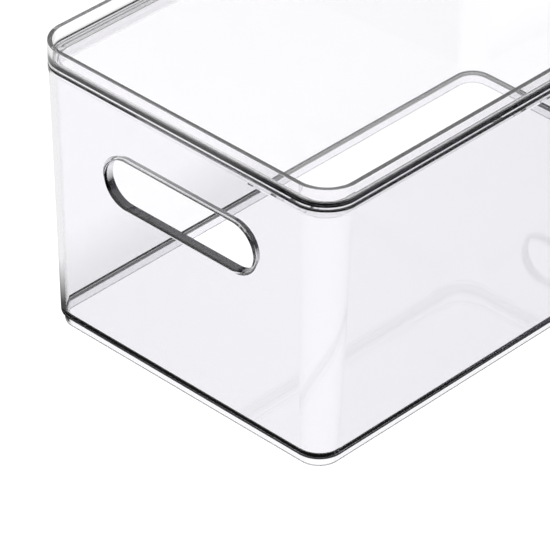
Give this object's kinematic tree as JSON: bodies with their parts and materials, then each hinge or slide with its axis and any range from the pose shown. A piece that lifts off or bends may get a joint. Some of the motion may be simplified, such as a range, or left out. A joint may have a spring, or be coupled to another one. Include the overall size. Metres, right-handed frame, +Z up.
{
  "type": "stackable storage bin",
  "caption": "Clear plastic box with drafted walls, rounded corners and a hand slot in each end, under a lift-off tray lid whose raised rim holds the foot of the next bin.",
  "frame": {"origin": "on the ground under the middle of the bin", "axes": "+Z up, the way the lid lifts; +X along the long sides, so the hand slots face -X and +X; +Y across the bin"},
  "size_m": [0.334, 0.2, 0.1677],
  "materials": {
    "tub_plastic": "clear, polished",
    "lid_plastic": "clear, polished"
  },
  "bodies": {
    "tub": {"tub": "tub_plastic"},
    "lid": {"lid": "lid_plastic"}
  },
  "joints": [
    {"name": "lid_lift", "type": "slide", "parent": "tub", "child": "lid", "axis": [0, 0, 1], "range_m": [0, 0.16]}
  ]
}
